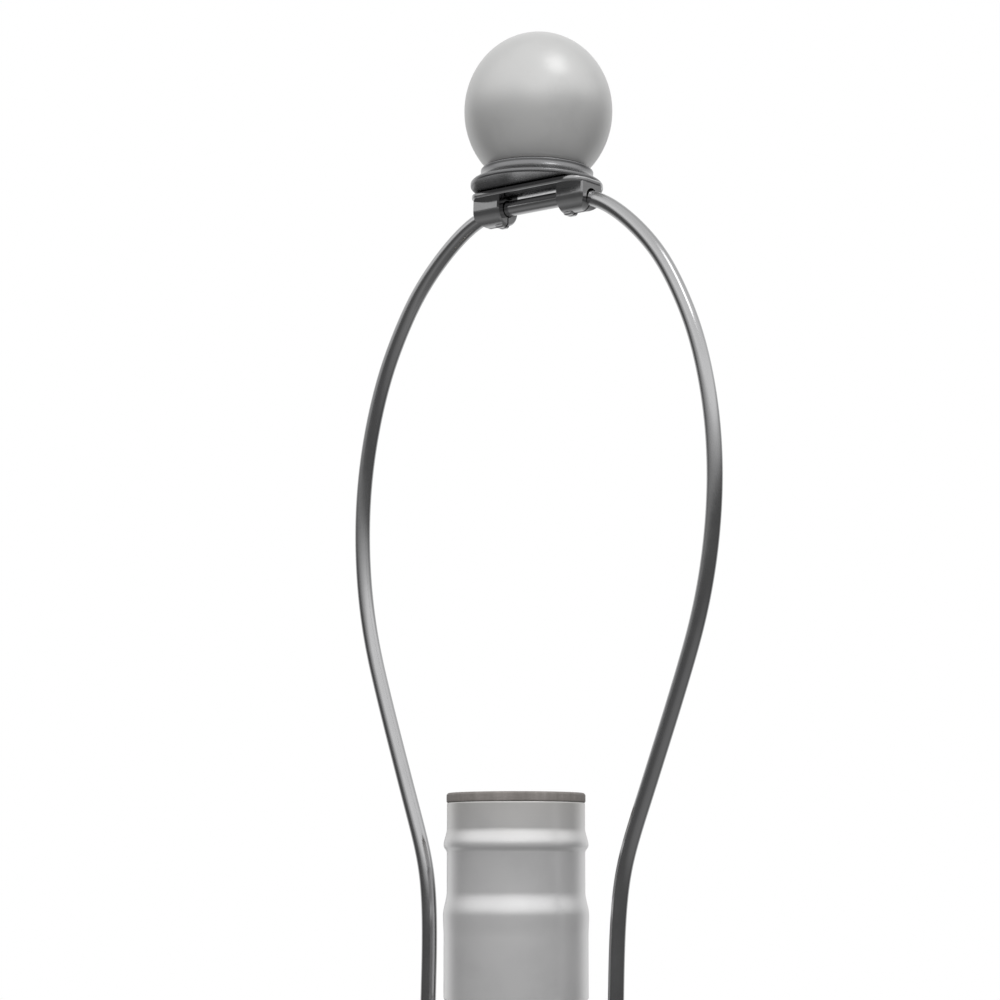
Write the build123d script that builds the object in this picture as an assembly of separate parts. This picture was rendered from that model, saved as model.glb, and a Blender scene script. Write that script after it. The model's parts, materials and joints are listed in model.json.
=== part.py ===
from build123d import *
import math
import os

os.makedirs("parts", exist_ok=True)

# ---------------------------------------------------------------------------
# Table-lamp harp with ball finial on a medium-base lamp socket.
# Millimetres. Z = 0 is the underside of the locknut under the harp saddle,
# +Z runs up the lamp axis, X runs from harp leg to harp leg.
# ---------------------------------------------------------------------------

# stacking heights on the lamp axis
Z_NUT_TOP = 3.2
Z_WASHER_TOP = 4.0
SADDLE_T = 1.6
Z_SADDLE_TOP = Z_WASHER_TOP + SADDLE_T

# threaded nipple (1/8 IP)
NIPPLE_R = 4.9        # crest radius, on the free length below the locknut
ENGAGED_R = 4.6       # mean radius of the same thread, where nut and bushing hold it
NIPPLE_BORE_R = 3.3
NIPPLE_Z0 = -19.0
NIPPLE_Z1 = 13.0

# locknut and washer
NUT_AF = 14.3
WASHER_R = 8.0
WASHER_BORE_R = 5.2
WASHER_TEETH = 14

# harp frame: everything on the harp leans back by a small angle
HARP_X = 0.6
HARP_Z = 8.0
HARP_LEAN = 2.0

# harp wire
WIRE_R = 1.715
LEG_U = 26.05
LEG_V0 = -1.7
LEG_V1 = 25.0
HARP_PROFILE = [
    (26.45, 32.0), (27.60, 40.5), (30.10, 48.4), (33.25, 56.6), (36.40, 64.9),
    (39.50, 73.1), (42.52, 81.4), (45.30, 89.6), (47.45, 97.8), (48.92, 106.1),
    (49.74, 114.3), (49.95, 121.5), (49.45, 130.8), (48.23, 139.1),
    (46.30, 147.3), (43.50, 155.6), (39.55, 163.8), (34.50, 171.9),
    (29.90, 177.1), (26.50, 180.3), (23.00, 183.1), (19.60, 185.4),
    (16.20, 187.0), (11.50, 187.9), (6.00, 188.0),
]
WIRE_TOP_V = 188.0

# saddle
SADDLE_W = 9.0
SADDLE_HUB_R = 9.2
SADDLE_HOLE_R = 5.7
TROUGH_R_IN = 1.80
TROUGH_R_OUT = 2.65
TROUGH_V1 = 8.4
TROUGH_OPEN = 2.3

# ferrules
FERRULE_V0 = 0.4
FERRULE_V1 = 11.6
FERRULE_R = 3.25
FERRULE_BORE_R = 2.75
FERRULE_NECK_R = 1.80
FERRULE_NECK_L = 2.6

# harp top plate
PLATE_V0 = 190.0
PLATE_T = 1.3
PLATE_L = 16.0
PLATE_W = 6.2
BARREL_R_IN = 1.95
BARREL_R_OUT = 3.6
BARREL_U0 = 8.2
BARREL_U1 = 15.8
CRIMP_R = 3.4
LIP_V = 183.8
LIP_U0 = 8.5
LIP_U1 = 11.2

# stud and finial
STUD_R = 3.175
STUD_V1 = 201.6
BALL_R = 16.6         # across
BALL_H = 17.9         # half height: the ball is slightly taller than wide
BALL_V = 209.3
BASE_V0 = 191.4
BASE_R_FOOT = 14.8
BASE_R_RIM = 12.6
BASE_V_RIM = 195.6
INSERT_R = 5.0
INSERT_BORE_R = 3.225
INSERT_V0 = 191.9
INSERT_V1 = 202.4

# socket cap
CAP_NECK_R = 8.0
CAP_WALL = 0.6
CAP_R = 16.1
CAP_Z_NECK = 11.0
CAP_Z1 = 20.0
BUSHING_R = 6.6
BUSHING_Z1 = 13.0

# socket shell and liner
SHELL_R = 15.55
SHELL_TOP_R = 14.9
SHELL_BULGE_R = 15.7
SHELL_BEAD_R = 15.6
SHELL_SKIRT_R = 15.05
SHELL_WALL = 0.45
SHELL_Z0 = 17.4
SHELL_GROOVE_Z = 20.2
SHELL_BULGE_Z = 38.6
SHELL_SHOULDER_Z1 = 43.7
SHELL_BEAD_Z = 53.6
SHELL_BEAD_Z1 = 57.2
SHELL_Z1 = 62.7
LINER_R = 14.45
LINER_T = 0.65
LINER_Z0 = 21.5
LINER_COLLAR_R = 15.0
LINER_COLLAR_Z = 62.75
LINER_Z1 = 64.75

# insulating body
BODY_R = 13.2
BODY_Z0 = 15.2
BODY_Z1 = 38.0
BODY_FLAT = 10.4

# lamp screw shell
LAMP_R = 12.5
LAMP_R_OUT = 13.4
LAMP_Z0 = 38.0
LAMP_Z1 = 61.0
LAMP_THREAD_Z0 = 42.4
LAMP_FLOOR = 0.6
LAMP_FLOOR_HOLE = 5.6


def harp_loc():
    return Pos(HARP_X, 0, HARP_Z) * Rot(-HARP_LEAN, 0, 0)


def on_harp(shape):
    return harp_loc() * shape


def save(shape, name):
    solids = shape.solids()
    out = solids[0] if len(solids) == 1 else Compound(children=list(solids))
    out.label = name
    export_step(out, "parts/" + name + ".step")


def ring(r_out, r_in, z0, z1):
    a = Pos(0, 0, z0) * Cylinder(r_out, z1 - z0, align=(Align.CENTER, Align.CENTER, Align.MIN))
    b = Pos(0, 0, z0 - 1) * Cylinder(r_in, z1 - z0 + 2, align=(Align.CENTER, Align.CENTER, Align.MIN))
    return a - b


def rod(r, z0, z1):
    return Pos(0, 0, z0) * Cylinder(r, z1 - z0, align=(Align.CENTER, Align.CENTER, Align.MIN))


def turned(points):
    face = Plane.XZ * make_face(Polyline(*points, close=True))
    return revolve(face, Axis.Z)


# ---------------------------------------------------------------------------
# locknut, washer, nipple
# ---------------------------------------------------------------------------
hexagon = RegularPolygon(NUT_AF / 2, 6, major_radius=False)
nut = extrude(hexagon, Z_NUT_TOP)
# crowned corners top and bottom
crown = turned([
    (0, -0.01), (NUT_AF / 2 - 0.1, -0.01), (NUT_AF / 2 + 1.4, 0.75),
    (NUT_AF / 2 + 1.4, Z_NUT_TOP - 0.75), (NUT_AF / 2 - 0.1, Z_NUT_TOP + 0.01), (0, Z_NUT_TOP + 0.01)])
nut = nut & crown
nut = nut - rod(ENGAGED_R, -1, Z_NUT_TOP + 1)
# the thread's lead-in chamfers
nut = nut - turned([(0, -0.1), (5.25, -0.1), (ENGAGED_R, 0.55), (0, 0.55)])
nut = nut - turned([(0, Z_NUT_TOP + 0.1), (5.25, Z_NUT_TOP + 0.1), (ENGAGED_R, Z_NUT_TOP - 0.55), (0, Z_NUT_TOP - 0.55)])
save(nut, "hex_locknut")

washer = ring(WASHER_R, WASHER_BORE_R, Z_NUT_TOP, Z_WASHER_TOP)
for i in range(WASHER_TEETH):
    a = 360.0 / WASHER_TEETH * i
    washer = washer - Rot(0, 0, a) * Pos(WASHER_R, 0, Z_NUT_TOP - 0.5) * Box(
        2.4, 1.1, 2, align=(Align.CENTER, Align.CENTER, Align.MIN))
save(washer, "lock_washer")

nipple = turned([
    (NIPPLE_BORE_R, NIPPLE_Z0), (NIPPLE_R - 0.6, NIPPLE_Z0), (NIPPLE_R, NIPPLE_Z0 + 0.8),
    (NIPPLE_R, 0), (ENGAGED_R, 0.2), (ENGAGED_R, NIPPLE_Z1 - 0.5), (ENGAGED_R - 0.4, NIPPLE_Z1),
    (NIPPLE_BORE_R, NIPPLE_Z1)])
save(nipple, "nipple")

# ---------------------------------------------------------------------------
# harp saddle: one stamping, a strip with a hub and a trough at each end
# ---------------------------------------------------------------------------
strip = Pos(HARP_X, 0, Z_WASHER_TOP) * Box(
    2 * LEG_U, SADDLE_W, SADDLE_T, align=(Align.CENTER, Align.CENTER, Align.MIN))
hub = Pos(HARP_X, 0, 0) * rod(SADDLE_HUB_R, Z_WASHER_TOP, Z_SADDLE_TOP)
saddle = strip + hub
for s in (-1, 1):
    end = Pos(HARP_X + s * LEG_U, 0, 0) * rod(SADDLE_W / 2, Z_WASHER_TOP, Z_SADDLE_TOP)
    saddle = saddle + end
saddle = saddle - Pos(HARP_X * 0.6, 0, 0) * rod(SADDLE_HOLE_R, Z_WASHER_TOP - 1, Z_SADDLE_TOP + 1)
# pressed stiffening ridges along the strip
for s in (-1, 1):
    ridge = Pos(HARP_X + s * 15.6, 0, Z_SADDLE_TOP) * Box(
        9.0, 2.6, 0.7, align=(Align.CENTER, Align.CENTER, Align.MIN))
    ridge = fillet(ridge.edges().filter_by(Axis.Z), 1.2)
    ridge = chamfer(ridge.faces().sort_by(Axis.Z)[-1].edges(), 0.35)
    saddle = saddle + ridge
foot_v0 = Z_WASHER_TOP + 0.6 - HARP_Z
for s in (-1, 1):
    tube = rod(TROUGH_R_OUT, foot_v0, TROUGH_V1) - rod(TROUGH_R_IN, LEG_V0 - 0.3, TROUGH_V1 + 1)
    cut = Pos(s * 3.0, 0, LEG_V0 - 0.3) * Box(
        6.0, TROUGH_OPEN, TROUGH_V1 - LEG_V0 + 2, align=(Align.CENTER, Align.CENTER, Align.MIN))
    tube = tube - cut
    saddle = saddle + on_harp(Pos(s * LEG_U, 0, 0) * tube)
saddle = saddle - Pos(0, 0, Z_WASHER_TOP - 5) * Box(90, 40, 5, align=(Align.CENTER, Align.CENTER, Align.MIN))
save(saddle, "saddle")

# ---------------------------------------------------------------------------
# ferrules
# ---------------------------------------------------------------------------
ferrule_profile = [
    (FERRULE_BORE_R, FERRULE_V0), (FERRULE_R + 0.25, FERRULE_V0), (FERRULE_R + 0.25, FERRULE_V0 + 0.9),
    (FERRULE_R, FERRULE_V0 + 1.3), (FERRULE_R, FERRULE_V1 - 1.8), (FERRULE_R - 0.35, FERRULE_V1 - 0.8),
    (FERRULE_R - 0.95, FERRULE_V1), (FERRULE_NECK_R, FERRULE_V1), (FERRULE_NECK_R, FERRULE_V1 - FERRULE_NECK_L),
    (FERRULE_BORE_R, FERRULE_V1 - FERRULE_NECK_L)]
ferrule = turned(ferrule_profile)
save(on_harp(Pos(-LEG_U, 0, 0) * ferrule), "ferrule_left")
save(on_harp(Pos(LEG_U, 0, 0) * ferrule), "ferrule_right")

# ---------------------------------------------------------------------------
# harp wire: straight legs, elbows, one continuous bow
# ---------------------------------------------------------------------------
right = [(u, 0, v) for u, v in HARP_PROFILE]
left = [(-u, 0, v) for u, v in reversed(HARP_PROFILE)]
bow = Spline([(LEG_U, 0, LEG_V1)] + right + [(0, 0, WIRE_TOP_V)] + left + [(-LEG_U, 0, LEG_V1)],
             tangents=[(0, 0, 1), (0, 0, -1)])
path = Wire([Line((LEG_U, 0, LEG_V0), (LEG_U, 0, LEG_V1)), bow, Line((-LEG_U, 0, LEG_V1), (-LEG_U, 0, LEG_V0))])
section = Plane(origin=(LEG_U, 0, LEG_V0), z_dir=(0, 0, 1)) * Circle(WIRE_R)
wire = sweep(section, path=path)
tips = wire.faces().filter_by(GeomType.PLANE).edges()
wire = chamfer(tips, 0.4)
save(on_harp(wire), "harp_wire")

# ---------------------------------------------------------------------------
# harp top plate: flat pad with two crimped barrels round the wire
# ---------------------------------------------------------------------------
pad = extrude(RectangleRounded(2 * PLATE_L, 2 * PLATE_W, 4.2), PLATE_T)
pad = fillet(pad.faces().sort_by(Axis.Z)[0].edges() + pad.faces().sort_by(Axis.Z)[-1].edges(), 0.45)
plate = Pos(0, 0, PLATE_V0) * pad
for s in (-1, 1):
    u_mid = s * (BARREL_U0 + BARREL_U1) / 2
    length = BARREL_U1 - BARREL_U0
    # cheeks folded down from the pad and rolled under the wire
    barrel = Pos(u_mid, 0, WIRE_TOP_V - 0.15) * Rot(0, 90, 0) * Cylinder(BARREL_R_OUT, length)
    cheek_h = PLATE_V0 + 0.6 - (WIRE_TOP_V - 0.15)
    cheek = Pos(u_mid, 0, WIRE_TOP_V - 0.15 + cheek_h / 2) * Box(length, 2 * BARREL_R_OUT, cheek_h)
    barrel = barrel - Pos(u_mid, 0, PLATE_V0 + 0.6) * Box(
        length + 1, 9, 5, align=(Align.CENTER, Align.CENTER, Align.MIN))
    fold = barrel + cheek
    fold = chamfer(fold.faces().filter_by(Axis.X).edges(), 0.35)
    # the crimp rounds the barrel's lower outer end
    bound = Pos(u_mid, 0, 188.0) * Box(length + 0.02, 12, 8.0)
    low = bound.edges().filter_by(Axis.Y).group_by(Axis.Z)[0].sort_by(Axis.X)
    bound = fillet(low[-1] if s > 0 else low[0], CRIMP_R)
    fold = fold & bound
    # the seam's two edges turn down at the inner end
    lip = Pos(s * (LIP_U0 + LIP_U1) / 2, 0, (WIRE_TOP_V - 2.0 + LIP_V) / 2) * Box(
        LIP_U1 - LIP_U0, 2.3, WIRE_TOP_V - 2.0 - LIP_V)
    lip = fillet(lip.edges().filter_by(Axis.Y).group_by(Axis.Z)[0], 0.8)
    lip = chamfer(lip.faces().filter_by(Axis.Y).edges(), 0.25)
    plate = plate + fold + lip
    slit = Pos(u_mid, 0, (WIRE_TOP_V + LIP_V) / 2 - 1.5) * Box(length + 2, 0.35, WIRE_TOP_V - LIP_V + 1)
    plate = plate - slit
# the wire follows the bow through both barrels
bore_path = Spline(
    [(19.6, 0, 185.4), (16.2, 0, 187.0), (11.5, 0, 187.9), (6.0, 0, 188.0), (0, 0, WIRE_TOP_V),
     (-6.0, 0, 188.0), (-11.5, 0, 187.9), (-16.2, 0, 187.0), (-19.6, 0, 185.4)])
bore_plane = Plane(origin=(19.6, 0, 185.4), z_dir=bore_path % 0)
bore = sweep(bore_plane * Circle(BARREL_R_IN), path=bore_path)
plate = plate - bore
plate = plate - rod(STUD_R, PLATE_V0 - 1, PLATE_V0 + PLATE_T + 1)
save(on_harp(plate), "harp_top_plate")

stud = turned([
    (0, PLATE_V0), (STUD_R, PLATE_V0), (STUD_R, STUD_V1 - 0.7), (STUD_R - 0.6, STUD_V1), (0, STUD_V1)])
save(on_harp(stud), "harp_stud")

# ---------------------------------------------------------------------------
# finial: ball, flared base and threaded insert
# ---------------------------------------------------------------------------
cavity_v1 = INSERT_V1 + 1.0


def egg(grow=0.0):
    a, b = BALL_R + grow, BALL_H + grow
    pts = [(a * math.cos(math.radians(t)), BALL_V + b * math.sin(math.radians(t))) for t in range(-85, 86, 5)]
    edge = Spline([(0, 0, BALL_V - b)] + [(r, 0, z) for r, z in pts] + [(0, 0, BALL_V + b)],
                  tangents=[(1, 0, 0), (-1, 0, 0)])
    face = make_face([edge, Line((0, 0, BALL_V + b), (0, 0, BALL_V - b))])
    return revolve(face, Axis.Z)


ball = egg() - rod(INSERT_R + 0.05, BALL_V - BALL_H - 1, cavity_v1)
save(on_harp(ball), "finial_ball")

base = turned([
    (INSERT_R + 0.05, BASE_V0), (BASE_R_FOOT - 0.35, BASE_V0), (BASE_R_FOOT, BASE_V0 + 0.35),
    (BASE_R_FOOT, BASE_V0 + 0.85), (BASE_R_FOOT - 0.35, BASE_V0 + 1.2), (BASE_R_FOOT - 1.1, BASE_V0 + 1.5),
    (BASE_R_FOOT - 1.7, BASE_V0 + 1.9), (BASE_R_FOOT - 2.1, BASE_V0 + 2.5), (BASE_R_FOOT - 2.25, BASE_V0 + 3.2),
    (BASE_R_RIM, BASE_V_RIM - 0.35), (BASE_R_RIM - 0.35, BASE_V_RIM), (INSERT_R + 0.05, BASE_V_RIM)])
base = base - egg()
save(on_harp(base), "finial_base")

insert = turned([
    (INSERT_BORE_R, INSERT_V0), (INSERT_R - 0.4, INSERT_V0), (INSERT_R, INSERT_V0 + 0.4),
    (INSERT_R, INSERT_V1 - 0.4), (INSERT_R - 0.4, INSERT_V1), (INSERT_BORE_R, INSERT_V1)])
save(on_harp(insert), "finial_insert")

# ---------------------------------------------------------------------------
# socket cap, neck bushing and set screw
# ---------------------------------------------------------------------------
cap_outer = [
    (CAP_NECK_R, Z_SADDLE_TOP), (CAP_NECK_R, CAP_Z_NECK - 0.6), (CAP_NECK_R + 0.5, CAP_Z_NECK + 0.1),
    (CAP_NECK_R + 3.0, CAP_Z_NECK + 0.6), (CAP_R - 2.7, CAP_Z_NECK + 1.6), (CAP_R - 1.1, CAP_Z_NECK + 3.0),
    (CAP_R - 0.25, CAP_Z_NECK + 4.5), (CAP_R, CAP_Z_NECK + 6.0), (CAP_R, CAP_Z1 - 0.25), (CAP_R - 0.2, CAP_Z1)]
cap_inner = [
    (CAP_R - CAP_WALL + 0.1, CAP_Z1), (CAP_R - CAP_WALL, CAP_Z1 - 0.25), (CAP_R - CAP_WALL, CAP_Z_NECK + 6.05),
    (CAP_R - 0.85, CAP_Z_NECK + 4.7), (CAP_R - 1.6, CAP_Z_NECK + 3.4), (CAP_R - 3.05, CAP_Z_NECK + 2.15),
    (CAP_NECK_R + 2.8, CAP_Z_NECK + 1.25), (BUSHING_R, CAP_Z_NECK + 0.95), (BUSHING_R, Z_SADDLE_TOP)]
cap = turned(cap_outer + cap_inner)
bushing = ring(BUSHING_R, ENGAGED_R, Z_SADDLE_TOP, BUSHING_Z1)
SCREW_Z = 8.3
SCREW_R = 1.4
screw_hole = Pos(0, NIPPLE_R + 4, SCREW_Z) * Rot(90, 0, 0) * Cylinder(SCREW_R, 8)
cap = cap - screw_hole
bushing = bushing - screw_hole
save(cap, "socket_cap")
save(bushing, "cap_bushing")
screw = Pos(0, NIPPLE_R + 0.1, SCREW_Z) * Rot(-90, 0, 0) * Cylinder(
    SCREW_R, CAP_NECK_R - NIPPLE_R + 0.3, align=(Align.CENTER, Align.CENTER, Align.MIN))
head = Pos(0, CAP_NECK_R + 0.15, SCREW_Z) * Rot(-90, 0, 0) * Cylinder(
    2.4, 1.5, align=(Align.CENTER, Align.CENTER, Align.MIN))
head = chamfer(head.faces().sort_by(Axis.Y)[-1].edges(), 0.3)
screw = screw + head - Pos(0, CAP_NECK_R + 1.65, SCREW_Z) * Box(0.6, 1.2, 6)
save(screw, "cap_set_screw")

# ---------------------------------------------------------------------------
# socket shell with shoulder, bead and rolled rim, and its fibre liner
# ---------------------------------------------------------------------------
W = SHELL_WALL


def ease(a, b, n):
    """Radii and heights of a smooth S from point a to point b."""
    out = []
    for k in range(n + 1):
        t = k / n
        q = t * t * (3 - 2 * t)
        out.append((a[0] + (b[0] - a[0]) * q, a[1] + (b[1] - a[1]) * t))
    return out


def shell_line(inset):
    pts = [(SHELL_SKIRT_R - inset, SHELL_Z0)]
    pts += ease((SHELL_SKIRT_R - inset, SHELL_GROOVE_Z - 0.1), (SHELL_R - inset, SHELL_GROOVE_Z + 1.1), 5)
    pts += ease((SHELL_R - inset, SHELL_BULGE_Z - 4.5), (SHELL_BULGE_R - inset, SHELL_BULGE_Z), 5)
    pts += ease((SHELL_BULGE_R - inset, SHELL_BULGE_Z), (SHELL_TOP_R - inset, SHELL_SHOULDER_Z1), 10)[1:]
    pts += ease((SHELL_TOP_R - inset, SHELL_BEAD_Z - 1.6), (SHELL_BEAD_R - inset, SHELL_BEAD_Z - 0.1), 6)
    pts += ease((SHELL_BEAD_R - inset, SHELL_BEAD_Z), (SHELL_TOP_R - inset, SHELL_BEAD_Z1), 8)
    return pts


outer = shell_line(0) + [
    (SHELL_TOP_R, SHELL_Z1 - 0.7), (SHELL_TOP_R - 0.05, SHELL_Z1 - 0.3), (SHELL_TOP_R - 0.15, SHELL_Z1 - 0.08),
    (SHELL_TOP_R - 0.28, SHELL_Z1)]
inner = [(LINER_R, SHELL_Z1)] + list(reversed(shell_line(W)))
shell = turned(outer + inner)
save(shell, "socket_shell")

# the liner ends in a collar that rests on the shell's edge
liner = turned([
    (LINER_R - LINER_T, LINER_Z0), (LINER_R, LINER_Z0), (LINER_R, LINER_COLLAR_Z), (LINER_COLLAR_R, LINER_COLLAR_Z),
    (LINER_COLLAR_R, LINER_Z1 - 0.3), (LINER_COLLAR_R - 0.3, LINER_Z1), (LINER_R - LINER_T + 0.2, LINER_Z1),
    (LINER_R - LINER_T, LINER_Z1 - 0.2)])
save(liner, "shell_liner")

# ---------------------------------------------------------------------------
# insulating body with terminal flats
# ---------------------------------------------------------------------------
body = turned([
    (0, BODY_Z0), (9.2, BODY_Z0), (BODY_R - 1.2, BODY_Z0 + 3.4), (BODY_R, BODY_Z0 + 5.4),
    (BODY_R, BODY_Z1 - 0.5), (BODY_R - 0.5, BODY_Z1), (0, BODY_Z1)])
TERM_Z0 = 19.5
TERM_Z1 = 32.5
for s in (-1, 1):
    flat = Pos(s * (BODY_FLAT + 5), 0, (TERM_Z0 + TERM_Z1) / 2) * Box(10, 11.0, TERM_Z1 - TERM_Z0)
    body = body - flat
# underside knot pocket for the cord
body = body - rod(5.2, BODY_Z0 - 1, BODY_Z0 + 5.0)
TSCREW_Z = 25.2
TSCREW_R = 1.6
for s in (-1, 1):
    hole = Pos(s * (BODY_FLAT - 2.5), 0, TSCREW_Z) * Rot(0, 90, 0) * Cylinder(TSCREW_R, 8)
    body = body - hole
# centre rivet hole and two shell rivet holes
RIVET_R = 1.3
RIVET_X = 8.6
body = body - rod(RIVET_R, BODY_Z1 - 7, BODY_Z1 + 1)
for s in (-1, 1):
    body = body - Pos(0, s * RIVET_X, 0) * rod(RIVET_R, BODY_Z1 - 6, BODY_Z1 + 1)
save(body, "socket_body")

# ---------------------------------------------------------------------------
# lamp screw shell with floor, centre contact and rivets
# ---------------------------------------------------------------------------
screw_shell = turned([
    (LAMP_FLOOR_HOLE, LAMP_Z0), (LAMP_R_OUT - 1.2, LAMP_Z0), (LAMP_R_OUT - 0.5, LAMP_Z0 + 0.4),
    (LAMP_R_OUT, LAMP_Z0 + 1.2), (LAMP_R_OUT, LAMP_Z1 - 0.25), (LAMP_R_OUT - 0.25, LAMP_Z1),
    (LAMP_R + 0.25, LAMP_Z1), (LAMP_R, LAMP_Z1 - 0.25), (LAMP_R, LAMP_THREAD_Z0),
    (LAMP_R - 0.5, LAMP_THREAD_Z0 - 0.6), (LAMP_R - 0.5, LAMP_Z0 + 1.4), (LAMP_R - 1.2, LAMP_Z0 + LAMP_FLOOR),
    (LAMP_FLOOR_HOLE, LAMP_Z0 + LAMP_FLOOR)])
for s in (-1, 1):
    screw_shell = screw_shell - Pos(0, s * RIVET_X, 0) * rod(RIVET_R, LAMP_Z0 - 1, LAMP_Z0 + 2)
save(screw_shell, "screw_shell")

for s, name in ((-1, "shell_rivet_front"), (1, "shell_rivet_back")):
    z1 = LAMP_Z0 + LAMP_FLOOR
    rivet = turned([
        (0, BODY_Z1 - 5.8), (RIVET_R, BODY_Z1 - 5.8), (RIVET_R, z1), (2.2, z1), (2.1, z1 + 0.45),
        (1.5, z1 + 0.85), (0.7, z1 + 1.0), (0, z1 + 1.0)])
    save(Pos(0, s * RIVET_X, 0) * rivet, name)

# centre contact: brass tongue lying on the body and springing up to the middle
c = 0.5  # tongue thickness
tongue_side = Plane.XZ * make_face(Polyline(
    (-4.6, BODY_Z1), (2.4, BODY_Z1), (3.5, BODY_Z1 + 0.3), (5.2, BODY_Z1 + 1.7), (5.4, BODY_Z1 + 2.4),
    (4.9, BODY_Z1 + 2.95), (-2.4, BODY_Z1 + 3.5), (-2.4, BODY_Z1 + 3.5 - c), (4.6, BODY_Z1 + 2.95 - c),
    (4.8, BODY_Z1 + 2.3), (4.7, BODY_Z1 + 2.05), (3.2, BODY_Z1 + 0.8), (2.4, BODY_Z1 + c),
    (-4.6, BODY_Z1 + c), close=True))
contact = extrude(tongue_side, 2.6, both=True)
contact = contact - rod(RIVET_R, BODY_Z1 - 1, BODY_Z1 + 1.5)
save(contact, "centre_contact")

z1 = BODY_Z1 + c
contact_rivet = turned([
    (0, BODY_Z1 - 6.8), (RIVET_R, BODY_Z1 - 6.8), (RIVET_R, z1), (2.1, z1), (2.0, z1 + 0.4),
    (1.4, z1 + 0.75), (0, z1 + 0.85)])
save(contact_rivet, "centre_contact_rivet")

# ---------------------------------------------------------------------------
# terminals and terminal screws
# ---------------------------------------------------------------------------
for s, plate_name, screw_name in ((-1, "terminal_hot", "terminal_screw_brass"),
                                  (1, "terminal_neutral", "terminal_screw_silver")):
    lug = Pos(s * (BODY_FLAT + 0.4), 0, TSCREW_Z) * Box(0.8, 9.4, 9.0)
    ears = Pos(s * (BODY_FLAT + 1.1), 0, TSCREW_Z - 4.1) * Box(0.8, 5.0, 0.8)
    lug = lug + ears
    lug = lug - Pos(s * BODY_FLAT, 0, TSCREW_Z) * Rot(0, 90, 0) * Cylinder(TSCREW_R, 6)
    save(lug, plate_name)
    shank_len = 6.5
    x0 = BODY_FLAT + 0.8
    shank = Pos(s * (x0 - shank_len / 2), 0, TSCREW_Z) * Rot(0, 90, 0) * Cylinder(TSCREW_R, shank_len)
    screw_head = Pos(s * (x0 + 0.8), 0, TSCREW_Z) * Rot(0, 90, 0) * Cylinder(2.9, 1.6)
    rim = screw_head.faces().sort_by(Axis.X)[-1 if s > 0 else 0].edges()
    screw_head = chamfer(rim, 0.45)
    tscrew = shank + screw_head - Pos(s * (x0 + 1.6), 0, TSCREW_Z) * Box(1.4, 0.7, 7)
    save(tscrew, screw_name)
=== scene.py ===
# Table-lamp harp with ball finial and medium-base socket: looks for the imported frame.
import json
import math
import bpy
import bmesh
from mathutils import Matrix, Vector

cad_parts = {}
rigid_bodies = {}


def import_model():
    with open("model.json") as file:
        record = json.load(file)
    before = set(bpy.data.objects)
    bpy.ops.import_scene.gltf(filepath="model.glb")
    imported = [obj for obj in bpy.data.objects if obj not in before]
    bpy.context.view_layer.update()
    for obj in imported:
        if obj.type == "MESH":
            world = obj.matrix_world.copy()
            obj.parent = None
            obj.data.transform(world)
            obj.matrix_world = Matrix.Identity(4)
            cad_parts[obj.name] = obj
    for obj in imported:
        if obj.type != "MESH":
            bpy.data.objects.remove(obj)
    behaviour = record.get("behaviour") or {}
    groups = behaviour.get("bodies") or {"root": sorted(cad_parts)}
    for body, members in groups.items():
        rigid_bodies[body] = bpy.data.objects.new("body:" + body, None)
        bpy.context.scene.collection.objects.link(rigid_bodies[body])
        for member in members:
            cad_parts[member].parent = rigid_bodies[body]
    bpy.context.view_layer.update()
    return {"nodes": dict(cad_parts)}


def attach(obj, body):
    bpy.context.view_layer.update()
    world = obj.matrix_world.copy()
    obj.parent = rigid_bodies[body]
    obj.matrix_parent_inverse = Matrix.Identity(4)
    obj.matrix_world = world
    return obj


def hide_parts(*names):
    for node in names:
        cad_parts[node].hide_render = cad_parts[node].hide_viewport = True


for o in list(bpy.data.objects):
    bpy.data.objects.remove(o, do_unlink=True)

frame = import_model()
nodes = frame["nodes"]
MM = 0.001

# the harp and everything on it lean back by two degrees
HARP = Matrix.Translation((0.6, 0, 8.0)) @ Matrix.Rotation(math.radians(-2.0), 4, "X")
LAMP = Matrix.Identity(4)
LEG_U = 26.05
BALL_R, BALL_H, BALL_V = 16.6, 17.9, 209.3


# ---------------------------------------------------------------------------
# mesh helpers, all in millimetres
# ---------------------------------------------------------------------------
def rounded(points):
    """A closed outline from (r, z, fillet) corners, each corner replaced by an arc."""
    out = []
    n = len(points)
    for i, (x, y, f) in enumerate(points):
        if f <= 0:
            out.append((x, y))
            continue
        a = Vector((points[i - 1][0] - x, points[i - 1][1] - y))
        b = Vector((points[(i + 1) % n][0] - x, points[(i + 1) % n][1] - y))
        la, lb = a.length, b.length
        a.normalize()
        b.normalize()
        ang = a.angle(b)
        if ang > math.pi - 0.02:
            out.append((x, y))
            continue
        t = min(f / math.tan(ang / 2), la * 0.49, lb * 0.49)
        r = t * math.tan(ang / 2)
        bis = (a + b).normalized()
        c = Vector((x, y)) + bis * (r / math.sin(ang / 2))
        p0 = Vector((x, y)) + a * t - c
        p1 = Vector((x, y)) + b * t - c
        sweep = math.pi - ang
        sign = 1 if p0.x * p1.y - p0.y * p1.x > 0 else -1
        steps = max(3, int(sweep / 0.16))
        for k in range(steps + 1):
            w = sign * sweep * k / steps
            q = Matrix.Rotation(w, 2) @ p0
            out.append((c.x + q.x, c.y + q.y))
    return out


def arc(cx, cy, r, a0, a1, n):
    return [(cx + r * math.cos(math.radians(a0 + (a1 - a0) * k / n)),
             cy + r * math.sin(math.radians(a0 + (a1 - a0) * k / n))) for k in range(n + 1)]


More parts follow.
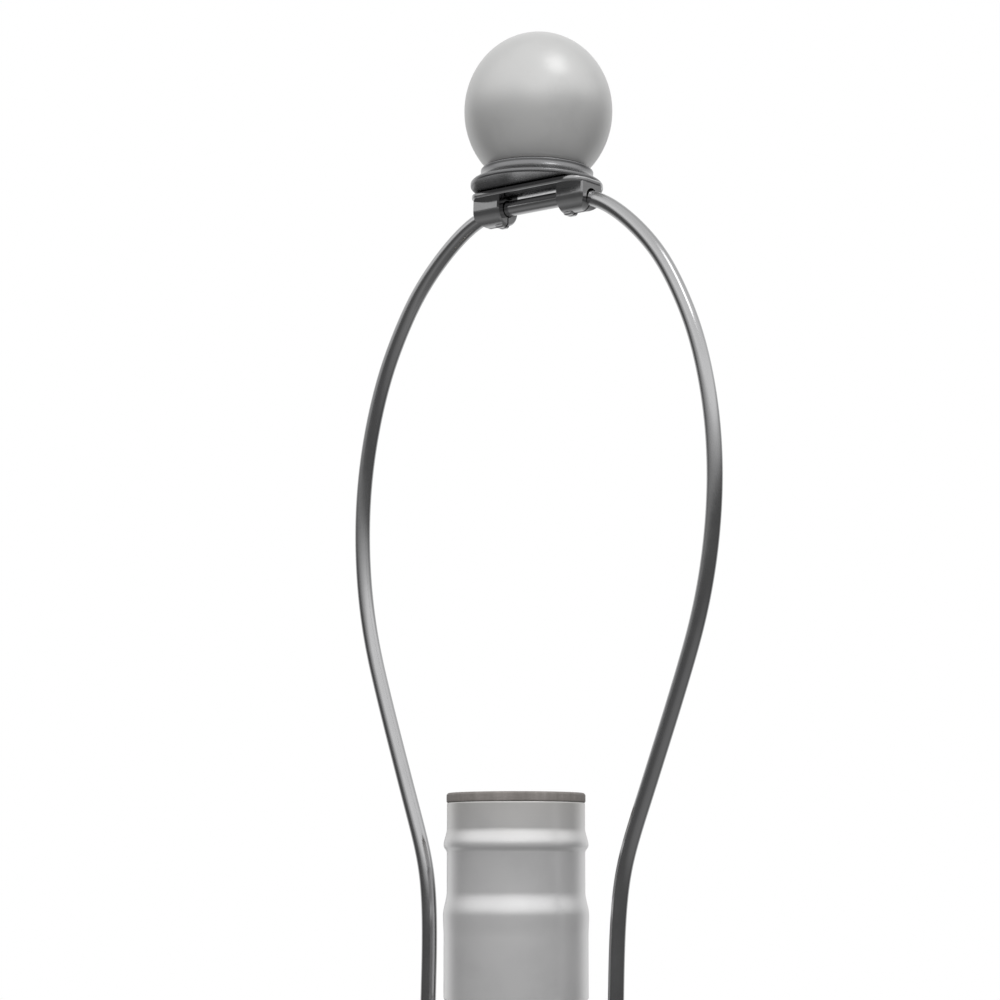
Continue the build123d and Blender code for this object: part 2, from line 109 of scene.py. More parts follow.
def finish_mesh(me, sharp=32.0):
    bm = bmesh.new()
    bm.from_mesh(me)
    bmesh.ops.remove_doubles(bm, verts=bm.verts, dist=1e-7)
    bmesh.ops.recalc_face_normals(bm, faces=bm.faces)
    for e in bm.edges:
        e.smooth = len(e.link_faces) == 2 and e.calc_face_angle(0) < math.radians(sharp)
    for f in bm.faces:
        f.smooth = True
    bm.to_mesh(me)
    bm.free()
    me.update()


def lathe(name, outline, place, segs=160, shape=None, sharp=32.0):
    """Turns a closed (r, z) outline about Z. shape(r, z, angle) may move the radius."""
    verts, faces = [], []
    rows = []
    for r, z in outline:
        if r < 1e-5:
            verts.append((0, 0, z))
            rows.append([len(verts) - 1] * segs)
            continue
        row = []
        for s in range(segs):
            w = 2 * math.pi * s / segs
            rr = shape(r, z, w) if shape else r
            row.append(len(verts))
            verts.append((rr * math.cos(w), rr * math.sin(w), z))
        rows.append(row)
    n = len(rows)
    for i in range(n):
        a, b = rows[i], rows[(i + 1) % n]
        if a[0] == a[1] and b[0] == b[1]:
            continue
        for s in range(segs):
            t = (s + 1) % segs
            quad = [a[s], a[t], b[t], b[s]]
            face = []
            for v in quad:
                if v not in face:
                    face.append(v)
            if len(face) > 2:
                faces.append(face)
    me = bpy.data.meshes.new(name)
    me.from_pydata([tuple((place @ Vector(v)) * MM) for v in verts], [], faces)
    finish_mesh(me, sharp)
    o = bpy.data.objects.new(name, me)
    bpy.context.scene.collection.objects.link(o)
    return o


def place_piece(o, body, material, *cad):
    o.data.materials.clear()
    o.data.materials.append(material)
    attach(o, body)
    if cad:
        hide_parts(*cad)
    return o


def dense(outline, r_at, z0, z1, step):
    """Adds points along the straight run at radius r_at between z0 and z1."""
    out = []
    n = len(outline)
    for i in range(n):
        p, q = outline[i], outline[(i + 1) % n]
        out.append(p)
        if abs(p[0] - r_at) < 1e-6 and abs(q[0] - r_at) < 1e-6 and abs(q[1] - p[1]) > step:
            k = int(abs(q[1] - p[1]) / step)
            for j in range(1, k):
                out.append((r_at, p[1] + (q[1] - p[1]) * j / k))
    return out


def smoothstep(a, b, x):
    t = min(max((x - a) / (b - a), 0.0), 1.0)
    return t * t * (3 - 2 * t)


def ease(a, b, n):
    """A smooth S from (r, z) point a to point b."""
    return [(a[0] + (b[0] - a[0]) * smoothstep(0, n, k), a[1] + (b[1] - a[1]) * k / n) for k in range(n + 1)]


def cubic(points, step):
    """Points every step along the natural cubic through the given (u, v) points."""
    t = [0.0]
    for p, q in zip(points, points[1:]):
        t.append(t[-1] + math.dist(p, q))
    n = len(points)
    out = []
    second = []
    for axis in (0, 1):
        y = [p[axis] for p in points]
        a = [0.0] * n
        c = [0.0] * n
        d = [0.0] * n
        for i in range(1, n - 1):
            h0, h1 = t[i] - t[i - 1], t[i + 1] - t[i]
            w = 2 * (h0 + h1) - h0 * a[i - 1]
            a[i] = h1 / w
            d[i] = (6 * ((y[i + 1] - y[i]) / h1 - (y[i] - y[i - 1]) / h0) - h0 * d[i - 1]) / w
        m = [0.0] * n
        for i in range(n - 2, 0, -1):
            m[i] = d[i] - a[i] * m[i + 1]
        second.append(m)
    count = int(t[-1] / step)
    j = 0
    for k in range(count + 1):
        x = t[-1] * k / count
        while j < n - 2 and x > t[j + 1]:
            j += 1
        h = t[j + 1] - t[j]
        lo, hi = (t[j + 1] - x) / h, (x - t[j]) / h
        p = []
        for axis in (0, 1):
            y0, y1 = points[j][axis], points[j + 1][axis]
            m0, m1 = second[axis][j], second[axis][j + 1]
            p.append(lo * y0 + hi * y1 + ((lo ** 3 - lo) * m0 + (hi ** 3 - hi) * m1) * h * h / 6)
        out.append(tuple(p))
    return out


def relax(points, rounds):
    """Evens out a bend's curvature; the two ends stay where they are."""
    for _ in range(rounds):
        points = [points[0]] + [
            tuple(0.25 * points[i - 1][k] + 0.5 * points[i][k] + 0.25 * points[i + 1][k] for k in (0, 1))
            for i in range(1, len(points) - 1)] + [points[-1]]
    return points


def tube(name, line, radius, place, sides=56, bevel=0.4):
    """A round bar along a flat (u, v) line, with bevelled ends."""
    n = len(line)
    verts, faces = [], []

    def ring(c, t, r):
        out = Vector((t[1], 0, -t[0]))
        for s in range(sides):
            w = 2 * math.pi * s / sides
            verts.append(Vector((c[0], 0, c[1])) + r * (math.cos(w) * out + math.sin(w) * Vector((0, 1, 0))))

    rows = 0
    for i in range(n):
        a, b = line[max(0, i - 1)], line[min(n - 1, i + 1)]
        d = math.dist(a, b)
        t = ((b[0] - a[0]) / d, (b[1] - a[1]) / d)
        c = line[i]
        if i == 0:
            ring(c, t, radius - bevel)
            ring((c[0] + t[0] * bevel * 0.4, c[1] + t[1] * bevel * 0.4), t, radius - bevel * 0.32)
            ring((c[0] + t[0] * bevel, c[1] + t[1] * bevel), t, radius)
            rows += 3
        elif i == n - 1:
            ring((c[0] - t[0] * bevel, c[1] - t[1] * bevel), t, radius)
            ring((c[0] - t[0] * bevel * 0.4, c[1] - t[1] * bevel * 0.4), t, radius - bevel * 0.32)
            ring(c, t, radius - bevel)
            rows += 3
        else:
            ring(c, t, radius)
            rows += 1
    for i in range(rows - 1):
        for s in range(sides):
            q = (s + 1) % sides
            faces.append([i * sides + s, i * sides + q, (i + 1) * sides + q, (i + 1) * sides + s])
    faces.append(list(range(sides)))
    faces.append([(rows - 1) * sides + s for s in range(sides)][::-1])
    me = bpy.data.meshes.new(name)
    me.from_pydata([tuple((place @ v) * MM) for v in verts], [], faces)
    finish_mesh(me, 40.0)
    o = bpy.data.objects.new(name, me)
    bpy.context.scene.collection.objects.link(o)
    return o


# ---------------------------------------------------------------------------
# materials
# ---------------------------------------------------------------------------
class Mat:
    def __init__(self, name):
        self.m = bpy.data.materials.new(name)
        self.m.use_nodes = True
        self.t = self.m.node_tree
        self.t.nodes.clear()
        self.out = self.add("ShaderNodeOutputMaterial")
        self.b = self.add("ShaderNodeBsdfPrincipled")
        self.link(self.b.outputs[0], self.out.inputs[0])
        self.coord = self.add("ShaderNodeTexCoord").outputs["Object"]

    def add(self, kind, **kw):
        n = self.t.nodes.new(kind)
        for k, v in kw.items():
            setattr(n, k, v)
        return n

    def link(self, a, b):
        self.t.links.new(a, b)

    def mapped(self, scale, rot=(0, 0, 0)):
        n = self.add("ShaderNodeMapping")
        n.inputs["Scale"].default_value = scale
        n.inputs["Rotation"].default_value = rot
        self.link(self.coord, n.inputs["Vector"])
        return n.outputs[0]

    def noise(self, scale, detail=4.0, rough=0.55, vector=None, distortion=0.0):
        n = self.add("ShaderNodeTexNoise")
        n.inputs["Scale"].default_value = scale
        n.inputs["Detail"].default_value = detail
        n.inputs["Roughness"].default_value = rough
        n.inputs["Distortion"].default_value = distortion
        self.link(vector or self.coord, n.inputs["Vector"])
        return n.outputs[0]

    def ramp(self, fac, stops):
        n = self.add("ShaderNodeValToRGB")
        e = n.color_ramp.elements
        while len(e) < len(stops):
            e.new(0.5)
        for el, (p, c) in zip(e, stops):
            el.position = p
            el.color = (*c, 1) if len(c) == 3 else c
        self.link(fac, n.inputs[0])
        return n.outputs[0]

    def range(self, value, a, b, c, d):
        n = self.add("ShaderNodeMapRange")
        for k, v in zip(("From Min", "From Max", "To Min", "To Max"), (a, b, c, d)):
            n.inputs[k].default_value = v
        self.link(value, n.inputs["Value"])
        return n.outputs[0]

    def mathn(self, op, a, b):
        n = self.add("ShaderNodeMath", operation=op)
        for i, v in enumerate((a, b)):
            if isinstance(v, (int, float)):
                n.inputs[i].default_value = v
            else:
                self.link(v, n.inputs[i])
        return n.outputs[0]

    def bump(self, height, strength, distance, before=None):
        n = self.add("ShaderNodeBump")
        n.inputs["Strength"].default_value = strength
        n.inputs["Distance"].default_value = distance
        self.link(height, n.inputs["Height"])
        if before is not None:
            self.link(before, n.inputs["Normal"])
        return n.outputs[0]

    def set(self, **kw):
        for k, v in kw.items():
            self.b.inputs[k.replace("_", " ")].default_value = v


def metal(name, tone, rough, vary=0.05, spun=0.0, grain=0.0, scratches=0.0, stain=0.06, tint=None, spin_scale=2600.0,
          metallic=1.0, drawn=0.0, painted_rim_shade=None):
    """Plated or bare metal: cloudy roughness, turning rings or rolling grain, hairline scratches, faint staining,
    and with (height, colour) stops, painted shade that darkens and slightly warms the colour towards the rim."""
    m = Mat(name)
    m.set(Metallic=metallic)
    cloud = m.noise(95.0, 5.0, 0.6)
    fine = m.noise(1400.0, 3.0, 0.5)
    dark = tuple(max(0.0, c * (1 - stain)) for c in tone)
    warm = tint or tone
    colour = m.ramp(cloud, [(0.30, dark), (0.50, tone), (0.72, warm)])
    # painted shade: the colour is multiplied by a ramp over height, darker towards the rim
    if painted_rim_shade:
        xyz = m.add("ShaderNodeSeparateXYZ")
        m.link(m.coord, xyz.inputs[0])
        lo, hi = painted_rim_shade[0][0], painted_rim_shade[-1][0]
        up = m.mathn("ADD", m.range(xyz.outputs[2], lo * MM, hi * MM, 0.0, 1.0),
                     m.mathn("MULTIPLY", m.mathn("SUBTRACT", cloud, 0.5), 0.06))
        shade = m.add("ShaderNodeMix", data_type="RGBA", blend_type="MULTIPLY")
        shade.inputs[0].default_value = 1.0
        m.link(colour, shade.inputs[6])
        m.link(m.ramp(up, [((h - lo) / (hi - lo), c) for h, c in painted_rim_shade]), shade.inputs[7])
        colour = shade.outputs[2]
    m.link(colour, m.b.inputs["Base Color"])
    mix = m.mathn("ADD", m.mathn("MULTIPLY", cloud, 0.7), m.mathn("MULTIPLY", fine, 0.3))
    m.link(m.range(mix, 0.3, 0.7, max(rough - vary, 0.02), rough + vary), m.b.inputs["Roughness"])
    normal = None
    if spun:
        rings = m.noise(1.0, 3.0, 0.7, m.mapped((22.0, 22.0, spin_scale)))
        normal = m.bump(rings, spun, 0.00004, normal)
    if grain:
        g = m.noise(900.0, 5.0, 0.7)
        normal = m.bump(g, grain, 0.00006, normal)
    if drawn:
        lines = m.noise(1.0, 3.0, 0.6, m.mapped((1500.0, 1500.0, 60.0)))
        normal = m.bump(lines, drawn, 0.00003, normal)
    if scratches:
        v = m.mapped((160.0, 1500.0, 520.0), (0.4, 0.9, 0.2))
        s = m.noise(1.0, 1.0, 0.3, v, 0.6)
        line = m.ramp(s, [(0.485, (0, 0, 0)), (0.5, (1, 1, 1)), (0.515, (0, 0, 0))])
        normal = m.bump(line, scratches, 0.00002, normal)
    if normal is not None:
        m.link(normal, m.b.inputs["Normal"])
    return m.m


ball_metal = metal("satin nickel ball", (0.585, 0.585, 0.58), 0.35, 0.05, grain=0.04, scratches=0.10, stain=0.06,
                   metallic=0.36)
wire_metal = metal("polished nickel wire", (0.47, 0.47, 0.475), 0.18, 0.04, drawn=0.10, scratches=0.03, stain=0.05)
polished = metal("polished nickel", (0.56, 0.56, 0.565), 0.12, 0.03, grain=0.03, scratches=0.10, stain=0.08)
plate_metal = metal("stamped nickel plate", (0.46, 0.46, 0.465), 0.17, 0.05, grain=0.08, scratches=0.10, stain=0.10)
# painted shade: the cup's nickel has a far darker tone than the other polished nickel, standing in for the shade under
# the ball
shaded_nickel_cup = metal("nickel cup darkened as painted shade", (0.25, 0.25, 0.255), 0.26, 0.04, spun=0.10, scratches=0.08, stain=0.07)
# painted shade on the shell: the height stops darken and slightly warm its colour towards the rim
shell_metal = metal("satin nickel shell", (0.83, 0.827, 0.83), 0.34, 0.04, spun=0.16, scratches=0.08, stain=0.04,
                    tint=(0.84, 0.835, 0.835), metallic=0.62,
                    painted_rim_shade=[(30.0, (1.0, 1.0, 1.0)), (41.0, (0.95, 0.95, 0.95)), (53.0, (0.93, 0.93, 0.93)),
                          (58.0, (0.86, 0.855, 0.845)), (62.7, (0.82, 0.81, 0.79))])
cap_metal = metal("satin nickel cap", (0.69, 0.685, 0.68), 0.32, 0.05, spun=0.16, scratches=0.08, stain=0.05)
thread_metal = metal("zinc plated thread", (0.55, 0.55, 0.53), 0.30, 0.08, grain=0.18, stain=0.14)
steel = metal("bright steel", (0.52, 0.52, 0.53), 0.26, 0.06, grain=0.12, stain=0.10)
alu = metal("drawn aluminium", (0.77, 0.77, 0.765), 0.30, 0.06, spun=0.12, scratches=0.06, stain=0.05)
brass = metal("brass", (0.72, 0.53, 0.25), 0.24, 0.06, grain=0.08, scratches=0.06, stain=0.14, tint=(0.76, 0.58, 0.30))
plated_screw = metal("plated screw", (0.66, 0.66, 0.66), 0.22, 0.05, spun=0.10, stain=0.06)


def phenolic():
    m = Mat("black phenolic")
    speck = m.noise(2600.0, 2.0, 0.5)
    cloud = m.noise(160.0, 5.0, 0.6)
    c = m.ramp(cloud, [(0.35, (0.020, 0.018, 0.017)), (0.65, (0.040, 0.036, 0.033))])
    s = m.ramp(speck, [(0.70, (0.0, 0.0, 0.0)), (0.76, (0.05, 0.042, 0.036))])
    n = m.add("ShaderNodeMix", data_type="RGBA", blend_type="ADD")
    n.inputs[0].default_value = 0.6
    m.link(c, n.inputs[6])
    m.link(s, n.inputs[7])
    m.link(n.outputs[2], m.b.inputs["Base Color"])
    m.link(m.range(cloud, 0.3, 0.7, 0.28, 0.42), m.b.inputs["Roughness"])
    m.link(m.bump(m.noise(700.0, 5.0, 0.6), 0.12, 0.00006), m.b.inputs["Normal"])
    m.set(IOR=1.6)
    return m.m


def fibre():
    m = Mat("vulcanised fibre liner")
    layers = m.noise(1.0, 4.0, 0.6, m.mapped((500.0, 500.0, 60.0)))
    flecks = m.noise(1.0, 6.0, 0.7, m.mapped((900.0, 900.0, 2200.0)))
    both = m.mathn("ADD", m.mathn("MULTIPLY", layers, 0.6), m.mathn("MULTIPLY", flecks, 0.4))
    m.link(m.ramp(both, [(0.32, (0.17, 0.155, 0.145)), (0.52, (0.23, 0.212, 0.200)), (0.70, (0.30, 0.280, 0.265))]),
           m.b.inputs["Base Color"])
    m.link(m.range(both, 0.3, 0.7, 0.62, 0.86), m.b.inputs["Roughness"])
    m.link(m.bump(both, 0.35, 0.0001), m.b.inputs["Normal"])
    return m.m


body_mat = phenolic()
liner_mat = fibre()


def dress(node, material):
    me = nodes[node].data
    if len(me.materials) == 0:
        me.materials.append(material)
    for i in range(len(me.materials)):
        me.materials[i] = material


dress("harp_top_plate", plate_metal)
dress("saddle", polished)
dress("lock_washer", steel)
dress("hex_locknut", thread_metal)
dress("cap_bushing", brass)
dress("cap_set_screw", steel)
dress("socket_body", body_mat)
dress("shell_rivet_front", brass)
dress("shell_rivet_back", brass)
dress("centre_contact", brass)
dress("centre_contact_rivet", brass)
dress("terminal_hot", brass)
dress("terminal_neutral", plated_screw)
dress("terminal_screw_brass", brass)
dress("terminal_screw_silver", plated_screw)
for n in ("harp_wire", "finial_ball", "finial_base", "finial_insert", "harp_stud", "ferrule_left", "ferrule_right",
          "nipple", "socket_cap", "socket_shell", "shell_liner", "screw_shell"):
    dress(n, polished)

# ---------------------------------------------------------------------------
# finial
# ---------------------------------------------------------------------------
a_low = math.degrees(math.acos(5.05 / BALL_R))


def egg(deg, grow=0.0):
    w = math.radians(deg)
    return ((BALL_R + grow) * math.cos(w), BALL_V + (BALL_H + grow) * math.sin(w))


ball_line = [(0.0, BALL_V + BALL_H)] + [egg(89 - (89 + a_low) * k / 130) for k in range(131)]
ball_line += [(5.05, 203.3), (0.0, 203.3)]
ball = lathe("finial_ball_visual", ball_line, HARP, 192)
place_piece(ball, "finial", ball_metal, "finial_ball")

F, V0 = 14.8, 191.4
a_rim = math.degrees(math.asin((BALL_V - 195.55) / (BALL_H + 0.04)))
seat = [egg(-(a_rim + (a_low - a_rim) * k / 12), 0.04) for k in range(13)]
base_line = rounded([
    (5.09, V0, 0), (F - 0.05, V0, 0.3), (F, V0 + 0.35, 0.3), (F, V0 + 0.85, 0.4), (F - 0.35, V0 + 1.2, 0.4),
    (F - 1.1, V0 + 1.5, 1.0), (F - 1.7, V0 + 1.9, 1.2), (F - 2.1, V0 + 2.5, 1.2), (F - 2.25, V0 + 3.2, 1.6),
    (12.6, 195.25, 0.3), (12.25, 195.6, 0.3), (11.2, 195.6, 0.2)])
base_line += seat
base = lathe("finial_base_visual", base_line, HARP, 192)
place_piece(base, "finial", shaded_nickel_cup, "finial_base")

PITCH_FINIAL = 25.4 / 27

# ---------------------------------------------------------------------------
# harp wire: one drawn bar bent into the bow
# ---------------------------------------------------------------------------
bow = [(26.05, -1.7), (26.05, 6.0), (26.05, 14.0), (26.07, 22.0), (26.45, 32.0), (27.60, 40.5), (30.10, 48.4),
       (33.25, 56.6), (36.40, 64.9), (39.50, 73.1), (42.52, 81.4), (45.30, 89.6), (47.45, 97.8), (48.92, 106.1),
       (49.74, 114.3), (49.95, 121.5), (49.45, 130.8), (48.23, 139.1), (46.30, 147.3), (43.50, 155.6), (39.55, 163.8),
       (34.50, 171.9), (29.90, 177.1), (26.50, 180.3), (23.00, 183.1), (19.60, 185.4), (16.20, 187.0), (11.50, 187.9),
       (6.00, 188.0), (0.0, 188.0)]
bow = [(-u, v) for u, v in bow] + bow[-2::-1]
wire = tube("harp_wire_visual", relax(cubic(bow, 0.7), 40), 1.715, HARP)
place_piece(wire, "harp", wire_metal, "harp_wire")


def thread_out(r_major, depth, pitch, z0, z1, lead=1.0):
    def f(r, z, w):
        if abs(r - r_major) > 1e-6:
            return r
        ph = ((z / pitch) - w / (2 * math.pi)) % 1.0
        g = 0.5 - 0.5 * math.cos(2 * math.pi * ph)
        g = min(1.0, g * 1.15)
        fade = smoothstep(z0, z0 + lead, z) * (1 - smoothstep(z1 - lead, z1, z))
        return r_major - depth * (1 - g) * fade
    return f


def thread_in(r_crest, depth, pitch, z0, z1, lead=1.0):
    def f(r, z, w):
        if abs(r - r_crest) > 1e-6:
            return r
        ph = ((z / pitch) - w / (2 * math.pi)) % 1.0
        g = 0.5 - 0.5 * math.cos(2 * math.pi * ph)
        fade = smoothstep(z0, z0 + lead, z) * (1 - smoothstep(z1 - lead, z1, z))
        return r_crest + depth * g * fade
    return f


stud_line = [(0.0, 190.0), (3.175, 190.0), (3.175, 200.9), (2.6, 201.6), (0.0, 201.6)]
stud = lathe("harp_stud_visual", dense(stud_line, 3.175, 190, 201, 0.085), HARP, 72,
             thread_out(3.175, 0.42, PITCH_FINIAL, 191.0, 200.9, 0.6), sharp=60)
place_piece(stud, "harp", steel, "harp_stud")

ins_line = rounded([(3.225, 191.9, 0), (4.6, 191.9, 0), (5.0, 192.3, 0), (5.0, 202.0, 0), (4.6, 202.4, 0), (3.225, 202.4, 0)])
ins = lathe("finial_insert_visual", dense(ins_line, 3.225, 191.9, 202.4, 0.085), HARP, 72,
            thread_in(3.225, 0.42, PITCH_FINIAL, 191.9, 202.4, 0.5), sharp=60)
place_piece(ins, "finial_thread", brass, "finial_insert")

# ---------------------------------------------------------------------------
# ferrules
# ---------------------------------------------------------------------------
fer_line = rounded([
    (2.75, 0.4, 0.1), (3.5, 0.4, 0.3), (3.5, 1.3, 0.3), (3.25, 1.7, 0.3), (3.25, 9.8, 0.8), (2.9, 10.8, 0.8),
    (2.3, 11.6, 0.3), (1.8, 11.6, 0.1), (1.8, 9.0, 0), (2.75, 9.0, 0)])
for side, body, cad in ((-1, "left_ferrule", "ferrule_left"), (1, "right_ferrule", "ferrule_right")):
    f = lathe(cad + "_visual", fer_line, HARP @ Matrix.Translation((side * LEG_U, 0, 0)), 96)
    place_piece(f, body, polished, cad)

# ---------------------------------------------------------------------------
# nipple with its thread
# ---------------------------------------------------------------------------
nip_line = [(3.3, -19.0), (4.3, -19.0), (4.9, -18.2), (4.9, 0.0), (4.6, 0.2), (4.6, 12.5), (4.2, 13.0), (3.3, 13.0)]
nip = lathe("nipple_visual", dense(nip_line, 4.9, -18.2, 0.0, 0.094), LAMP, 96,
            thread_out(4.9, 0.50, PITCH_FINIAL, -18.2, 0.0, 0.5), sharp=60)
place_piece(nip, "base", thread_metal, "nipple")

# ---------------------------------------------------------------------------
# socket cap, shell, liner
# ---------------------------------------------------------------------------
def crimps(r, z, w):
    # the cap's mouth is nipped in at twelve places to grip the shell
    if r < 15.9 or z < 17.6:
        return r
    d = (w * 12 / (2 * math.pi)) % 1.0 - 0.5
    dent = math.exp(-(d / 0.07) ** 2) * math.exp(-((z - 18.5) / 0.55) ** 2)
    return r - 0.22 * dent


cap_line = rounded([
    (8.0, 5.6, 0.2), (8.0, 11.0, 1.2), (11.0, 11.6, 4.0), (13.4, 12.6, 4.0), (15.0, 14.0, 3.5), (15.85, 15.5, 3.5),
    (16.1, 17.0, 3.0), (16.1, 19.0, 0.4), (16.1, 19.85, 0.2), (15.9, 20.0, 0.1), (15.58, 20.0, 0.1), (15.5, 19.75, 0.1),
    (15.5, 17.05, 2.0), (15.2, 15.65, 3.0), (14.45, 14.35, 3.0), (13.0, 13.1, 3.0), (10.8, 12.2, 2.0), (6.6, 11.95, 0.2),
    (6.6, 5.6, 0)])
cap = lathe("socket_cap_visual", dense(cap_line, 16.1, 17.0, 19.6, 0.2), LAMP, 288, crimps)
place_piece(cap, "base", cap_metal, "socket_cap")

S, BULGE, T, BEAD, SKIRT = 15.55, 15.7, 14.9, 15.6, 15.05


def shell_side(inset):
    pts = [(SKIRT - inset, 17.4)]
    pts += ease((SKIRT - inset, 20.1), (S - inset, 21.3), 10)
    pts += ease((S - inset, 34.1), (BULGE - inset, 38.6), 16)
    pts += ease((BULGE - inset, 38.6), (T - inset, 43.7), 30)[1:]
    pts += ease((T - inset, 52.0), (BEAD - inset, 53.5), 14)
    pts += ease((BEAD - inset, 53.6), (T - inset, 57.2), 26)
    return pts


shell_out = shell_side(0) + [(T, 62.3), (T - 0.01, 62.46), (T - 0.045, 62.58), (T - 0.10, 62.66), (T - 0.18, 62.7)]
shell_in = [(14.47, 62.7), (14.47, 57.4)] + [(r, z) for r, z in reversed(shell_side(0.45)) if z < 57.3]
shell = lathe("socket_shell_visual", shell_out + shell_in, LAMP, 256)
place_piece(shell, "shell", shell_metal, "socket_shell")


def liner_seam(r, z, w):
    # a rolled tube: the outer end laps over the inner one
    d = (w - 2.2) % (2 * math.pi)
    step = smoothstep(0.0, 0.02, d) * (1 - smoothstep(0.0, 1.6, d))
    return r - 0.10 * step if r < 14.2 else r - 0.05 * step


lin_line = rounded([(13.8, 21.5, 0.1), (14.45, 21.5, 0.1), (14.45, 62.75, 0.0), (14.95, 62.75, 0.12), (15.0, 63.1, 0.3),
                    (15.0, 64.35, 0.35), (14.65, 64.75, 0.3), (14.05, 64.75, 0.2), (13.8, 64.5, 0.2)])
lin = lathe("shell_liner_visual", lin_line, LAMP, 200, liner_seam)
place_piece(lin, "shell", liner_mat, "shell_liner")

# ---------------------------------------------------------------------------
# lamp screw shell, with its rolled thread
# ---------------------------------------------------------------------------
LAMP_PITCH = 25.4 / 7


def rolled(r, z, w):
    if z < 42.0:
        return r
    ph = ((z / LAMP_PITCH) - w / (2 * math.pi)) % 1.0
    g = 0.5 - 0.5 * math.cos(2 * math.pi * ph)
    fade = smoothstep(42.0, 43.8, z) * (1 - smoothstep(58.8, 60.6, z))
    if abs(r - 12.85) < 1e-6:
        return 12.85 + (0.55 * g) * fade
    if abs(r - 12.5) < 1e-6:
        return 12.5 + (0.55 * g) * fade
    return r


ss_line = [(5.6, 38.0), (12.0, 38.0), (12.7, 38.35), (12.85, 39.1), (12.85, 60.8), (12.75, 61.0), (12.6, 61.0),
           (12.5, 60.8), (12.5, 42.4), (12.2, 41.9), (12.1, 41.0), (12.0, 39.4), (11.5, 38.75), (10.8, 38.6), (5.6, 38.6)]
ss_line = dense(dense(ss_line, 12.85, 39.1, 60.8, 0.28), 12.5, 42.4, 60.8, 0.28)
ss = lathe("screw_shell_visual", ss_line, LAMP, 144, rolled, sharp=50)
place_piece(ss, "base", alu, "screw_shell")

# ---------------------------------------------------------------------------
# floor, light, camera
# ---------------------------------------------------------------------------
me = bpy.data.meshes.new("floor")
ring_n = 200
fl = [(0.42 * math.cos(2 * math.pi * k / ring_n), 0.42 * math.sin(2 * math.pi * k / ring_n), -0.0191) for k in range(ring_n)]
me.from_pydata(fl, [], [list(range(ring_n))])
floor = bpy.data.objects.new("floor", me)
bpy.context.scene.collection.objects.link(floor)
fm = Mat("pale floor")
fm.link(fm.ramp(fm.noise(240.0, 4.0), [(0.3, (0.70, 0.70, 0.695)), (0.7, (0.715, 0.715, 0.71))]), fm.b.inputs["Base Color"])
fm.set(Roughness=0.7)
me.materials.append(fm.m)
floor.visible_glossy = False
floor.visible_diffuse = False

AZ = math.radians(40.0)
FWD = Vector((-math.sin(AZ), math.cos(AZ), 0))
RGT = Vector((math.cos(AZ), math.sin(AZ), 0))

world = bpy.data.worlds.new("studio")
bpy.context.scene.world = world
world.use_nodes = True
nt = world.node_tree
nt.nodes.clear()


def wn(kind, **kw):
    n = nt.nodes.new(kind)
    for k, v in kw.items():
        setattr(n, k, v)
    return n


def wmath(op, a, b=None, clamp=False):
    n = wn("ShaderNodeMath", operation=op, use_clamp=clamp)
    for i, v in enumerate((a, b)):
        if v is None:
            continue
        if isinstance(v, (int, float)):
            n.inputs[i].default_value = v
        else:
            nt.links.new(v, n.inputs[i])
    return n.outputs[0]


def wdot(vec, d):
    n = wn("ShaderNodeVectorMath", operation="DOT_PRODUCT")
    nt.links.new(vec, n.inputs[0])
    n.inputs[1].default_value = d
    return n.outputs["Value"]


def wramp(value, lo, hi, stops):
    mr = wn("ShaderNodeMapRange")
    for k, v in zip(("From Min", "From Max", "To Min", "To Max"), (lo, hi, 0.0, 1.0)):
        mr.inputs[k].default_value = v
    nt.links.new(value, mr.inputs["Value"])
    r = wn("ShaderNodeValToRGB")
    r.color_ramp.interpolation = "EASE"
    e = r.color_ramp.elements
    while len(e) < len(stops):
        e.new(0.5)
    for el, (p, c) in zip(e, stops):
        el.position = (p - lo) / (hi - lo)
        el.color = (c, c, c, 1)
    nt.links.new(mr.outputs[0], r.inputs[0])
    return r.outputs[0]


direction = wn("ShaderNodeTexCoord").outputs["Generated"]
elev = wdot(direction, (0, 0, 1))
ahead = wdot(direction, FWD)
side = wdot(direction, RGT)
# by height: a pale floor, a dark band at eye level, a bright ceiling above
room = wramp(elev, -1.0, 1.0, [(-1.0, 0.17), (-0.85, 0.20), (-0.62, 0.31), (-0.44, 0.24), (-0.16, 0.13),
                              (0.12, 0.12), (0.30, 0.66), (0.42, 1.18), (0.62, 1.05), (1.0, 0.88)])
# the ceiling is brightest on the camera's side
front = wramp(ahead, -1.0, 1.0, [(-1.0, 1.0), (-0.10, 1.0), (0.50, 0.65), (1.0, 0.65)])
room = wmath("MULTIPLY", room, front)
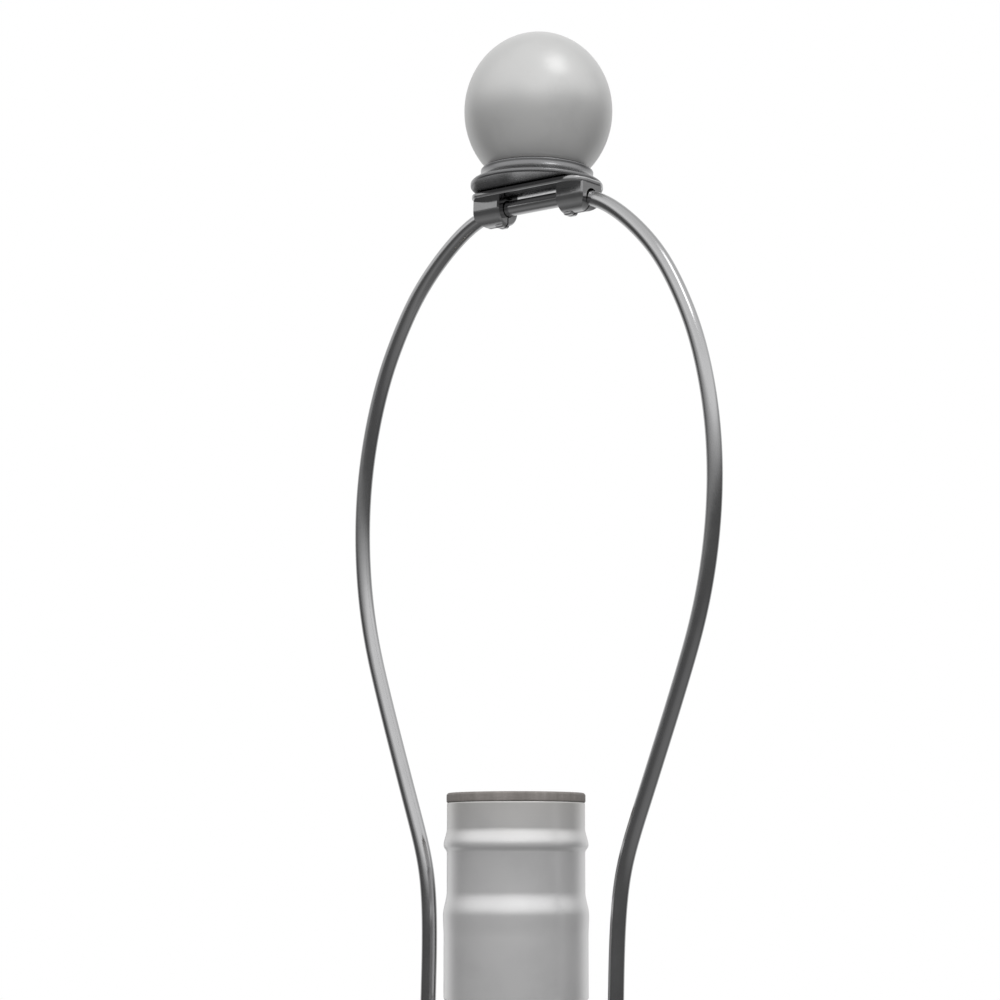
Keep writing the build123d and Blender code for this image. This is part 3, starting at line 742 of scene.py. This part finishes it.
# the wall behind the lamp is white
wall = wramp(ahead, -1.0, 1.0, [(-1.0, 0.0), (0.30, 0.0), (0.88, 0.85), (1.0, 0.85)])
mixed = wmath("ADD", wmath("MULTIPLY", room, wmath("SUBTRACT", 1.0, wall)), wmath("MULTIPLY", wall, 1.0))
path = wn("ShaderNodeLightPath")
seen = wn("ShaderNodeBackground")
seen.inputs[0].default_value = (1, 1, 1, 1)
seen.inputs[1].default_value = 1.0
lit = wn("ShaderNodeBackground")
nt.links.new(mixed, lit.inputs[0])
lit.inputs[1].default_value = 1.0
mix = wn("ShaderNodeMixShader")
nt.links.new(path.outputs["Is Camera Ray"], mix.inputs[0])
nt.links.new(lit.outputs[0], mix.inputs[1])
nt.links.new(seen.outputs[0], mix.inputs[2])
wo = wn("ShaderNodeOutputWorld")
nt.links.new(mix.outputs[0], wo.inputs[0])


def area(name, at, size, power, target):
    d = bpy.data.lights.new(name, "AREA")
    d.shape = "RECTANGLE"
    d.size, d.size_y = size
    d.energy = power
    o = bpy.data.objects.new(name, d)
    bpy.context.scene.collection.objects.link(o)
    o.location = at
    o.rotation_mode = "QUATERNION"
    o.rotation_quaternion = (Vector(target) - Vector(at)).to_track_quat("-Z", "Y")
    return o


mid = Vector((0.0, 0.0, 0.11))
area("key", mid - FWD * 0.50 + RGT * 0.42 + Vector((0, 0, 1.05)), (0.42, 0.42), 1.25, mid)
fill = area("fill", mid - FWD * 1.14 + Vector((0, 0, 0.50)), (0.90, 0.60), 8.0, mid)
fill.visible_glossy = False
fill.visible_camera = False

cam_data = bpy.data.cameras.new("camera")
cam = bpy.data.objects.new("camera", cam_data)
bpy.context.scene.collection.objects.link(cam)
cam.location = (0.40728, -0.49075, 0.04548)
look = Vector((-0.637397, 0.759620, 0.129243))
cam.rotation_mode = "QUATERNION"
cam.rotation_quaternion = look.to_track_quat("-Z", "Y")
cam_data.sensor_width = 36.0
cam_data.lens = 105.83
cam_data.clip_start = 0.01
cam_data.clip_end = 50.0
bpy.context.scene.camera = cam
bpy.context.scene.view_settings.view_transform = "Standard"
